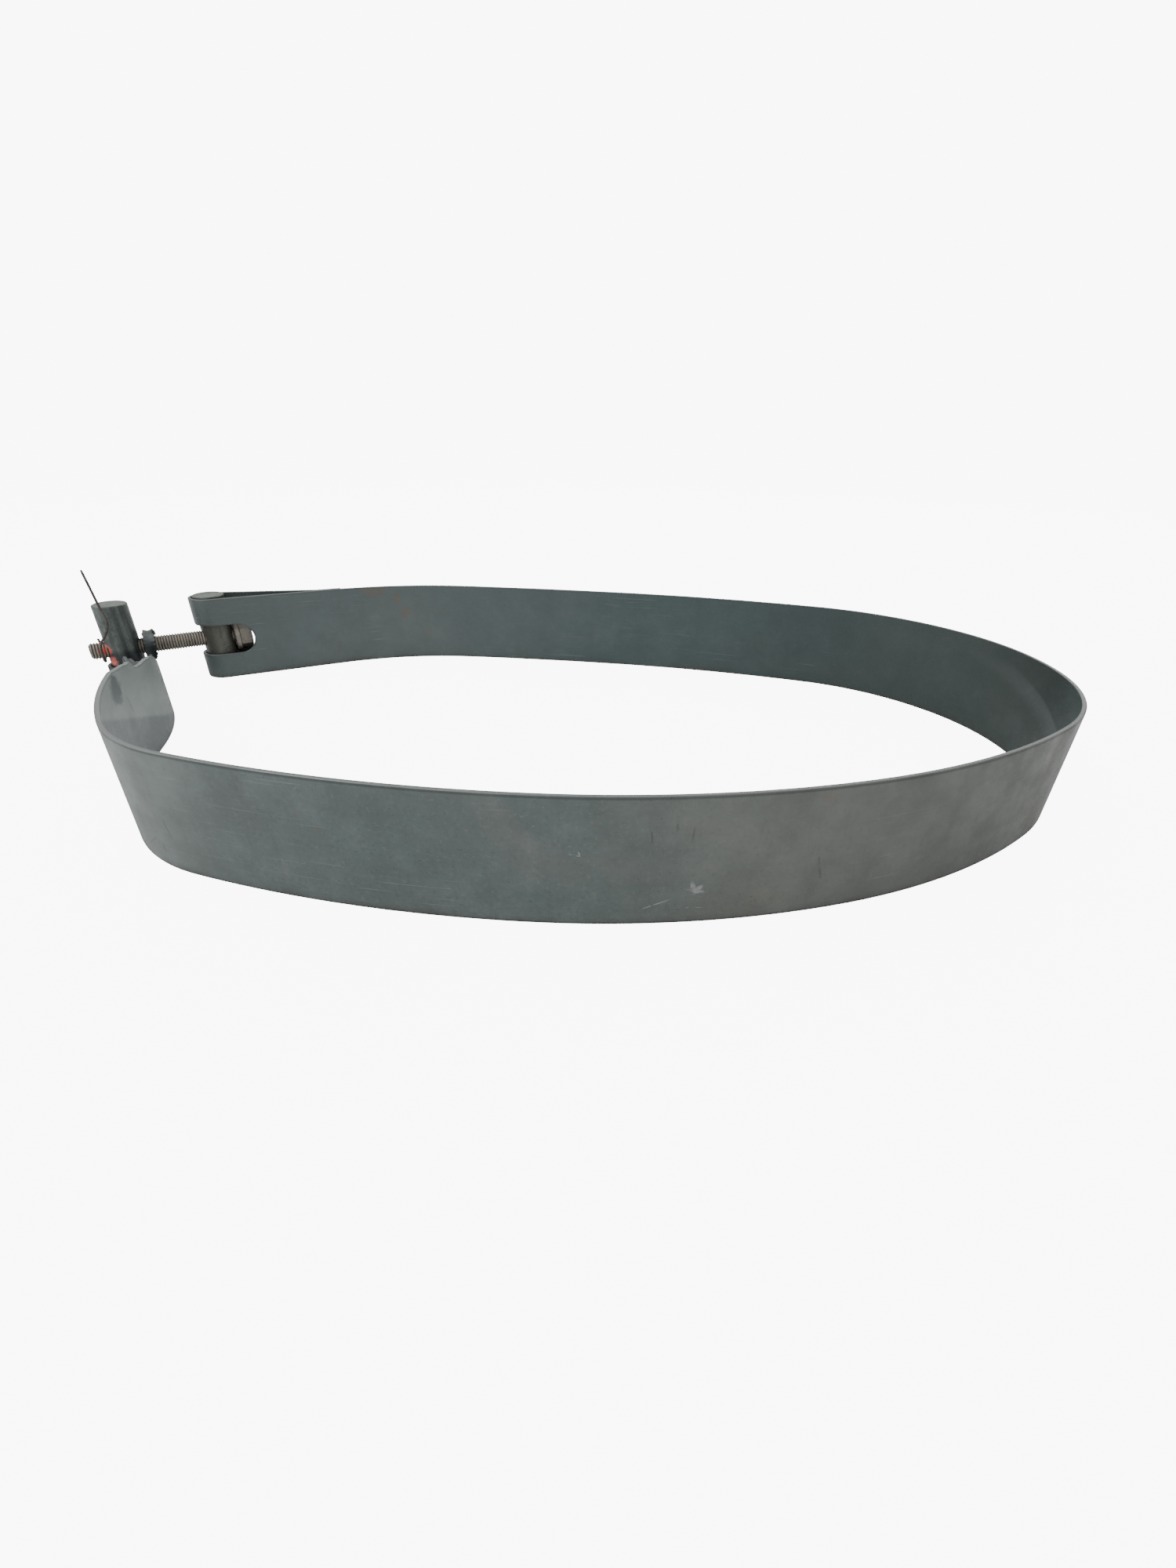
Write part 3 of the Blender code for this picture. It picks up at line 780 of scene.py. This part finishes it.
# ---------------- the strap's finish
class Skin:
    """What the layers of the strap's finish share: the sheet's coordinates, patterns and masks."""

    def __init__(self, n, route):
        self.n = n
        self.route = route
        self.back = route.last
        self.place = n.attribute("sheet", "Vector")
        self.along, self.height, self.side = n.split(self.place)
        self.margin = n.attribute("margin")
        apart = n.times(self.side, 0.35)
        self.surface = n.make("CombineXYZ", "Vector", X=self.along, Y=self.height, Z=apart)
        self.inner = n.remap(self.side, 0.2, -0.2)
        self.outer = n.math("SUBTRACT", 1.0, self.inner)
        self.mottle = n.noise(70.0, self.surface, 6.0, 0.62)
        self.grain = n.noise(620.0, self.surface, 4.0, 0.65)
        self.rolled = n.noise(1.0, n.mapped((14.0, 520.0, 3.0), self.surface), 4.0, 0.6)
        self.ragged = n.noise(240.0, self.surface, 4.0, 0.6)
        warm = n.noise(7.0, n.mapped((1.0, 1.6, 1.0), self.surface, (3.1, 0.4, 0.0)), 4.0, 0.6, 0.7)
        self.warm = n.times(n.remap(warm, 0.5, 0.72), self.facing(0.35))
        rust = n.noise(46.0, n.mapped((1.0, 1.0, 1.0), self.surface, (0.7, 1.9, 0.0)), 6.0, 0.68, 0.3)
        self.rust = n.remap(rust, 0.66, 0.78)
        sparse = n.remap(n.noise(38.0, self.surface, 2.0), 0.5, 0.62)
        self.speck = n.times(n.remap(n.cells(420.0, self.surface), 0.12, 0.05), sparse)
        self.dark = self.marks(DARK_MARKS)
        # a narrow band along every edge: where the painted edge highlight goes, and where the sheet is
        # smoother
        uneven = n.math("MULTIPLY_ADD", self.mottle, 0.0003, self.margin)
        self.rubbed = n.remap(uneven, 0.00034, 0.00014)

    def facing(self, inside):
        """1 on the ring's outer face, and less on its inner face."""
        return self.n.remap(self.side, -0.2, 0.2, inside, 1.0)

    def zone(self, start, end):
        """0 at one distance back from the left barrel along the strap, 1 at the other."""
        return self.n.remap(self.along, self.back - start, self.back - end)

    def marks(self, table):
        """The straight marks of a table, on the outer face."""
        n = self.n
        strokes = [n.stroke(self.surface, (self.back - d, z), *shape) for d, z, *shape in table]
        return n.times(n.largest(strokes), self.outer)

    def blob(self, distance, height, size, raggedness):
        """A ragged blob on the inner face."""
        n = self.n
        at = (self.back - distance, height, 0.0)
        return n.times(n.spot(self.surface, at, (*size, 1e6), self.ragged, raggedness), self.inner)

    def weld_distance(self):
        """The distance over the sheet to the nearest spot weld of a tail."""
        n = self.n
        flat = n.vector_math("MULTIPLY", self.place, (1.0, 1.0, 0.0))
        nearest = 1.0
        for s, z in weld_spots(self.route)[0]:
            nearest = n.math("MINIMUM", n.vector_math("DISTANCE", flat, (s, z, 0.0)), nearest)
        return nearest


def rolled_steel(n, skin):
    """Blue-grey mill scale: clouds, mottling, rolling lines and grain, with painted shade darkening the inner
    face of the ring.
    """
    cloud = n.noise(9.0, skin.surface, 3.0, 0.5, 0.4)
    upright = n.noise(1.0, n.mapped((150.0, 16.0, 3.0), skin.surface), 4.0, 0.6)
    colour = n.mix(n.remap(cloud, 0.3, 0.7), (0.096, 0.124, 0.122), (0.128, 0.154, 0.149))
    for factor, tone in (
        (n.remap(skin.mottle, 0.35, 0.72, 0.0, 0.55), (0.096, 0.11, 0.106)),
        (n.remap(skin.mottle, 0.46, 0.28, 0.0, 0.36), (0.15, 0.165, 0.158)),
        (n.remap(skin.rolled, 0.4, 0.66, 0.0, 0.07), (0.155, 0.165, 0.158)),
        (n.remap(upright, 0.52, 0.72, 0.0, 0.22), (0.085, 0.095, 0.094)),
        (n.remap(skin.grain, 0.46, 0.3, 0.0, 0.45), (0.07, 0.082, 0.08)),
        (n.remap(skin.grain, 0.54, 0.7, 0.0, 0.35), (0.185, 0.2, 0.192)),
    ):
        colour = n.mix(factor, colour, tone)
    # painted shade: the whole inner face of the ring is darkened
    return n.tint(colour, skin.inner, 0.64, (0.054, 0.084, 0.086))


def tone_zones(n, skin, colour):
    """Broad tones: warm patches and a browner right half; painted shade inside the right bend, and painted
    reflections inside the right half and near its right end.
    """
    colour = n.tint(colour, skin.warm, 0.3, (0.17, 0.14, 0.118))
    browner = n.times(skin.zone(0.36, 0.47), skin.facing(0.3), skin.zone(0.85, 0.65))
    colour = n.tint(colour, browner, 0.42, (0.136, 0.126, 0.108))
    # painted shade: the inner face darkened at the right bend
    painted_shade_right_bend = n.times(skin.zone(0.93, 0.72), skin.zone(0.62, 0.66), skin.inner)
    colour = n.tint(colour, painted_shade_right_bend, 0.45, (0.04, 0.048, 0.043))
    # painted reflection: a light slanting band on the inner face
    slant = n.math("MULTIPLY_ADD", skin.height, 3.8, n.math("SUBTRACT", skin.along, skin.back - 0.5295))
    band = n.times(n.remap(slant, -0.045, -0.006), n.remap(slant, 0.004, -0.002))
    band = n.times(band, n.remap(skin.height, 0.046, 0.03), skin.inner)
    colour = n.tint(colour, band, 0.45, (0.15, 0.17, 0.172))
    # painted reflection: the inner face lighter near the strap's right end
    return n.tint(colour, n.times(skin.zone(0.9, 1.1), skin.inner), 0.3, (0.2, 0.215, 0.212))


def rust_and_specks(n, skin, colour):
    """Faint rust, brown patches inside, dark specks, and hair-fine scratches along the strap."""
    colour = n.tint(colour, skin.rust, 0.45, (0.185, 0.118, 0.08))
    patches = n.largest(skin.blob(d, z, size, 0.5) for d, z, size in RUST_SPOTS)
    colour = n.tint(colour, patches, 0.5, (0.15, 0.125, 0.105))
    colour = n.tint(colour, skin.speck, 0.55, (0.04, 0.042, 0.04))
    fine = n.noise(1.0, n.mapped((24.0, 1500.0, 9.0), skin.surface, (0.3, 0.0, 0.0)), 2.0, 0.5)
    hair = n.times(n.remap(fine, 0.665, 0.7), n.remap(n.noise(16.0, skin.surface, 2.0), 0.5, 0.62))
    return n.tint(colour, hair, 0.35, (0.26, 0.28, 0.27))


def outer_marks(n, skin, colour):
    """Handling marks on the outer face: dark, faint, chalky and brown strokes."""
    colour = n.tint(colour, skin.dark, 0.62, (0.035, 0.04, 0.042))
    for table, low, high, strength, tone in (
        (FAINT_MARKS, 0.4, 0.6, 0.42, (0.05, 0.056, 0.056)),
        (LIGHT_MARKS, 0.4, 0.56, 0.7, (0.3, 0.31, 0.3)),
        (BROWN_MARKS, 0.35, 0.55, 0.45, (0.15, 0.115, 0.085)),
    ):
        mask = n.times(skin.marks(table), n.remap(skin.ragged, low, high))
        colour = n.tint(colour, mask, strength, tone)
    return colour


def bend_tones(n, skin, colour):
    """Painted reflections inside the left bend, split by a slanting line, a painted highlight on the outer
    face beside them, painted shade on the outer face of the right bend, a blot and a crack.
    """
    # painted reflection inside the left bend: lighter above a slanting line, less light below it
    line = n.times(n.math("SUBTRACT", skin.back - 0.062, skin.along), 0.37)
    below = n.remap(n.math("SUBTRACT", line, skin.height), -0.0012, 0.0022)
    inside = n.times(skin.inner, skin.zone(0.26, 0.2), skin.zone(0.02, 0.06))
    above = n.times(inside, n.math("SUBTRACT", 1.0, below))
    colour = n.tint(colour, above, 0.75, (0.29, 0.325, 0.312))
    colour = n.tint(colour, n.times(inside, below), 0.6, (0.22, 0.228, 0.235))
    # painted highlight on the outer face near the left bend
    outside = n.times(skin.zone(0.27, 0.21), skin.outer, skin.zone(0.12, 0.16))
    colour = n.tint(colour, outside, 0.3, (0.3, 0.33, 0.315))
    shade = n.times(skin.zone(0.47, 0.55), skin.zone(0.63, 0.58), skin.outer)
    colour = n.tint(colour, shade, 0.3, (0.06, 0.066, 0.06))
    colour = n.tint(colour, skin.blob(*BLOT, 0.6), 0.75, (0.07, 0.078, 0.088))
    distance, height, *shape = CRACK
    crack = n.stroke(skin.surface, (skin.back - distance, height), *shape)
    return n.tint(colour, n.times(crack, skin.inner), 0.6, (0.05, 0.055, 0.055))


def edge_wear_and_painted_light(n, skin, colour):
    """Grime at the foot, rubbed edges with a painted highlight along them and a painted shadow line beside
    it, weld marks, and painted shade over the torn end and its tail.
    """
    grime = n.times(n.remap(skin.height, 0.004, 0.0, 0.0, 0.5), n.remap(skin.mottle, 0.3, 0.6))
    colour = n.mix(grime, colour, (0.07, 0.066, 0.058))
    # painted highlight along the edges, stronger towards the left end
    shine = n.remap(skin.along, skin.back - 0.5, skin.back - 0.2, 0.22, 0.55)
    colour = n.mix(n.times(skin.rubbed, shine), colour, (0.27, 0.285, 0.272))
    # painted shadow: a dark line just inside every edge, beside the highlight, weaker on the inner face
    line = n.times(n.remap(skin.margin, 0.0002, 0.0004), n.remap(skin.margin, 0.0014, 0.0007))
    colour = n.tint(colour, n.times(line, skin.facing(0.25)), 0.55, (0.035, 0.04, 0.042))
    weld = n.times(n.remap(skin.weld_distance(), 0.0046, 0.0026), skin.inner)
    colour = n.tint(colour, weld, 0.25, (0.075, 0.06, 0.05))
    # painted shade: the torn left end and its tail darkened, a little less at their edges
    painted_shade_torn_end = n.times(skin.zone(0.072, 0.045), n.remap(skin.margin, 0.0002, 0.0009, 0.55, 0.86))
    return n.mix(painted_shade_torn_end, colour, (0.022, 0.025, 0.029))


def strap_material(route):
    """Dull blue-grey rolled steel, in layers from the mill scale up to the worn edges, with painted shade,
    highlights and reflections among them.
    """
    n = Nodes("strap_finish")
    skin = Skin(n, route)
    colour = rolled_steel(n, skin)
    for layer in (tone_zones, rust_and_specks, outer_marks, bend_tones, edge_wear_and_painted_light):
        colour = layer(n, skin, colour)
    rough = n.remap(skin.mottle, 0.25, 0.75, 0.4, 0.58)
    rough = n.math("ADD", rough, n.times(skin.rust, 0.2))
    rough = n.math("ADD", rough, n.times(skin.rubbed, -0.1))
    rough = n.math("ADD", rough, n.remap(skin.grain, 0.3, 0.7, -0.03, 0.03))
    metal = n.math("SUBTRACT", 0.62, n.times(n.math("MAXIMUM", skin.rust, skin.warm), 0.3))
    wave = n.noise(5.0, n.mapped((1.0, 2.4, 1.0), skin.surface), 2.0, 0.4)
    bump = n.bump(wave, 0.25, 0.004)
    bump = n.bump(skin.rolled, 0.04, 0.0003, bump)
    bump = n.bump(skin.mottle, 0.12, 0.0005, bump)
    bump = n.bump(skin.grain, 0.1, 0.0002, bump)
    pits = n.math("SUBTRACT", 0.0, n.math("MAXIMUM", skin.speck, n.times(skin.dark, 0.6)))
    bump = n.bump(pits, 0.4, 0.0003, bump)
    return n.finish(colour, rough, metal, bump)


# ---------------- the other finishes
def paint_mask(n, spots, ragged):
    """1 where red paint was dabbed round the thread's end."""
    masks = []
    for (x, y, z), size in spots:
        at = PAINT_AT + U * x + SIDE * y + UP * z
        masks.append(n.spot(n.coords, tuple(at), (PAINT_SIZE * size,) * 3, ragged, 0.75))
    return n.largest(masks)


def bar_material(name, tones, dark_below_height, paint):
    """Dark drawn bar: vertical die lines, blotches of grime, grey sawn ends with saw marks."""
    n = Nodes(name)
    cap = n.remap(n.math("ABSOLUTE", n.normal_z()), 0.75, 0.92)
    drawn = n.noise(1.0, n.mapped((260.0, 260.0, 9.0)), 5.0, 0.6)
    blotch = n.noise(150.0, None, 5.0, 0.62, 0.6)
    fine = n.noise(1400.0, None, 3.0, 0.6)
    saw = n.noise(1.0, n.mapped((300.0, 2600.0, 10.0)), 3.0, 0.5)
    colour = n.mix(n.remap(drawn, 0.34, 0.68), *tones)
    colour = n.mix(n.remap(blotch, 0.5, 0.7, 0.0, 0.5), colour, (0.03, 0.033, 0.034))
    colour = n.mix(n.remap(blotch, 0.44, 0.3, 0.0, 0.4), colour, (0.125, 0.125, 0.105))
    colour = n.mix(n.remap(fine, 0.55, 0.7, 0.0, 0.3), colour, (0.21, 0.22, 0.195))
    # darker below the given height
    low = n.remap(n.split(n.coords)[2], dark_below_height, dark_below_height - 0.004)
    colour = n.tint(colour, low, 0.7, (0.02, 0.021, 0.024))
    end = n.mix(n.remap(saw, 0.35, 0.65), (0.125, 0.15, 0.132), (0.19, 0.22, 0.19))
    end = n.mix(n.remap(blotch, 0.48, 0.7, 0.0, 0.55), end, (0.13, 0.13, 0.1))
    colour = n.mix(cap, colour, end)
    rough = n.remap(blotch, 0.3, 0.7, 0.36, 0.56)
    metal = n.math("SUBTRACT", 0.6, n.times(n.remap(blotch, 0.55, 0.7), 0.3))
    if paint:
        ragged = n.noise(520.0, None, 4.0, 0.6, 0.4)
        red = paint_mask(n, BAR_PAINT, ragged)
        tone = n.mix(n.remap(ragged, 0.35, 0.65), (0.52, 0.06, 0.045), (0.7, 0.19, 0.15))
        colour = n.tint(colour, red, 0.93, tone)
        metal = n.times(metal, n.math("SUBTRACT", 1.0, red))
    bump = n.bump(drawn, 0.06, 0.0002)
    bump = n.bump(blotch, 0.22, 0.0003, bump)
    bump = n.bump(fine, 0.12, 0.0001, bump)
    bump = n.bump(n.times(saw, cap), 0.35, 0.0002, bump)
    return n.finish(colour, rough, metal, bump)


def bolt_material(name, paint):
    """Lightly rusted thread: brown-grey steel, ochre rust, dark grooves and rubbed crests."""
    n = Nodes(name)
    blotch = n.noise(170.0, None, 5.0, 0.65, 0.5)
    fine = n.noise(1500.0, None, 3.0, 0.65)
    streak = n.noise(420.0, None, 4.0, 0.7)
    colour = n.mix(n.remap(blotch, 0.34, 0.66), (0.215, 0.202, 0.178), (0.315, 0.29, 0.25))
    colour = n.mix(n.remap(streak, 0.52, 0.7, 0.0, 0.65), colour, (0.3, 0.225, 0.14))
    colour = n.mix(n.remap(streak, 0.44, 0.3, 0.0, 0.55), colour, (0.12, 0.11, 0.098))
    colour = n.mix(n.remap(fine, 0.56, 0.72, 0.0, 0.5), colour, (0.48, 0.445, 0.36))
    colour = n.tint(colour, n.attribute("groove"), 0.62, (0.06, 0.05, 0.04))
    rough = n.remap(blotch, 0.3, 0.7, 0.48, 0.72)
    metal = n.remap(streak, 0.4, 0.68, 0.55, 0.18)
    if paint:
        red = paint_mask(n, BOLT_PAINT, n.noise(520.0, None, 4.0, 0.6, 0.4))
        colour = n.tint(colour, red, 0.9, (0.56, 0.085, 0.065))
        metal = n.times(metal, n.math("SUBTRACT", 1.0, red))
    bump = n.bump(blotch, 0.25, 0.0003)
    bump = n.bump(fine, 0.3, 0.00012, bump)
    return n.finish(colour, rough, metal, bump)


def wire_material():
    """Dull annealed wire with specks of rust."""
    n = Nodes("wire_finish")
    speck = n.noise(700.0, None, 4.0, 0.6)
    colour = n.mix(n.remap(speck, 0.35, 0.65), (0.055, 0.052, 0.05), (0.12, 0.105, 0.09))
    return n.finish(colour, n.remap(speck, 0.3, 0.7, 0.42, 0.62), 0.6, n.bump(speck, 0.3, 0.0001))


def torn_material():
    """The torn remnant: darker than the strap, and paler where it faces up, a painted highlight."""
    n = Nodes("torn_finish")
    # painted highlight: faces that look up are lighter
    top = n.remap(n.normal_z(), 0.35, 0.85)
    blotch = n.noise(260.0, None, 5.0, 0.62, 0.4)
    colour = n.mix(n.remap(blotch, 0.35, 0.65), (0.022, 0.026, 0.028), (0.045, 0.052, 0.052))
    colour = n.tint(colour, top, 0.5, (0.19, 0.225, 0.215))
    return n.finish(colour, n.remap(blotch, 0.3, 0.7, 0.4, 0.58), 0.5, n.bump(blotch, 0.3, 0.0003))


# ---------------- stage
def area_light(name, location, target, size, power):
    data = bpy.data.lights.new(name, "AREA")
    data.shape = "RECTANGLE"
    data.size, data.size_y = size
    data.energy = power
    light = add_object(name, data)
    light.location = location
    direction = Vector(target) - Vector(location)
    light.rotation_euler = direction.to_track_quat("-Z", "Y").to_euler()


def make_world():
    """Even studio light, and a bright background where the camera sees it."""
    world = bpy.data.worlds.new("studio")
    world.use_nodes = True
    tree = world.node_tree
    background = tree.nodes["Background"]
    background.inputs["Color"].default_value = (1.0, 1.0, 1.0, 1.0)
    strength = tree.nodes.new("ShaderNodeMath")
    strength.operation = "MULTIPLY_ADD"
    tree.links.new(tree.nodes.new("ShaderNodeLightPath").outputs["Is Camera Ray"], strength.inputs[0])
    strength.inputs[1].default_value = WHITE - AMBIENT
    strength.inputs[2].default_value = AMBIENT
    tree.links.new(strength.outputs[0], background.inputs["Strength"])
    bpy.context.scene.world = world


def make_floor():
    """A plain pale floor, just under the strap's lower edge."""
    bm = bmesh.new()
    bmesh.ops.create_grid(bm, x_segments=1, y_segments=1, size=12.0)
    mesh = bpy.data.meshes.new("floor")
    bm.to_mesh(mesh)
    bm.free()
    floor = add_object("floor", mesh)
    floor.location = (0.0, 0.0, -0.0002)
    n = Nodes("floor_pale")
    tone = n.mix(n.noise(2.0, None, 2.0), (0.86, 0.86, 0.86), (0.9, 0.9, 0.9))
    n.finish(tone, 0.9, 0.0, n.bump(n.noise(400.0), 0.02, 0.0005))
    glow = n.times(n.make("LightPath", "Is Camera Ray"), WHITE - FLOOR_LIT)
    n.shader.inputs["Emission Color"].default_value = (1.0, 1.0, 1.0, 1.0)
    n.feed(glow, n.shader.inputs["Emission Strength"])
    mesh.materials.append(n.mat)


def make_stage():
    make_world()
    make_floor()
    area_light("key", (-0.9, -0.5, 1.4), (0.0, 0.0, 0.0), (1.2, 1.2), 16.0)
    area_light("rim", (0.6, 1.3, 1.0), (0.0, 0.0, 0.02), (1.6, 0.8), 10.0)


# ---------------- assembly
def dress(ob, material, nodes, body=None):
    """Gives a piece its material, the CAD nodes it stands for and the body it rides on."""
    ob.data.materials.clear()
    ob.data.materials.append(material)
    if nodes:
        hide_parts(*nodes)
    if body:
        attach(ob, body)


def add_groove(bolt):
    """Stores how deep each point of the bolt lies in its thread, for the dirt that collects there."""
    co = np.array([v.co for v in bolt.data.vertices]) - RIGHT
    along = co @ U
    radius = np.linalg.norm(co - along[:, None] * U, axis=1)
    groove = np.clip((BOLT_R - 0.0002 - radius) / 0.0006, 0, 1) * (along < SPOT_FACE) * (radius > 0.003)
    store(bolt, "groove", groove)


def build():
    rng = np.random.default_rng(7)
    place_camera()
    make_stage()
    strap, route = make_strap(rng)
    dress(strap, strap_material(route), ["strap_rear_run", "strap_left_run"])
    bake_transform(strap)
    dress(make_tongue(rng), torn_material(), [], "strap_left_end")
    right = make_barrel("right_bar", RIGHT, rng, True)
    finish = bar_material("right_bar_finish", RIGHT_TONES, NO_DARK_BELOW, False)
    dress(right, finish, ["clearance_barrel"], "right_barrel")
    left = make_barrel("left_bar", LEFT, rng, False)
    finish = bar_material("left_bar_finish", LEFT_TONES, LEFT_DARK_BELOW, True)
    dress(left, finish, ["tapped_barrel"], "left_barrel")
    dress(make_washer(), bolt_material("washer_finish", False), ["head_washer"], "right_barrel")
    bolt = make_bolt()
    add_groove(bolt)
    dress(bolt, bolt_material("bolt_finish", True), ["closing_bolt"], "bolt")
    dress(make_wire(), wire_material(), ["tie_wire"], "left_barrel")


build()
